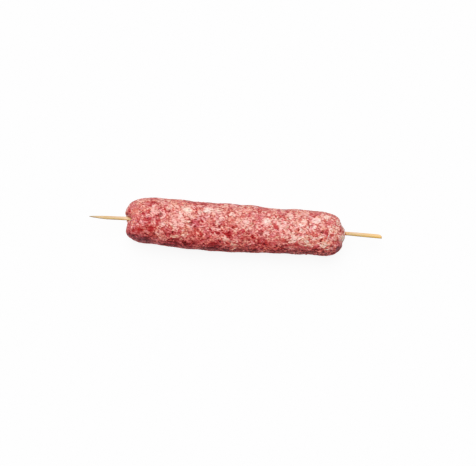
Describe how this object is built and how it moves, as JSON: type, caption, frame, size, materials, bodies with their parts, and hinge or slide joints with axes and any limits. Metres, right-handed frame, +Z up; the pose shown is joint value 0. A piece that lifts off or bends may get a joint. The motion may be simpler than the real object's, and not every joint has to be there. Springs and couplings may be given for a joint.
{
  "type": "raw minced-beef kebab on a skewer",
  "caption": "Thick rounded bar of pressed raw mince round a thin bamboo stick with a sharpened end, lying on a flat spot.",
  "frame": {"origin": "on the surface that it rests on, under the middle of the whole", "axes": "+X along the stick towards its cut end, +Y across, +Z up off the surface that it rests on"},
  "size_m": [0.2, 0.0334, 0.0306],
  "materials": {
    "raw_mince": "raw coarse beef mince, pressed: marbled pink, red and cream, moist",
    "bamboo": "bare split bamboo, fine fibres along it"
  },
  "bodies": {
    "root": {"meat": "raw_mince", "stick": "bamboo"}
  },
  "joints": []
}
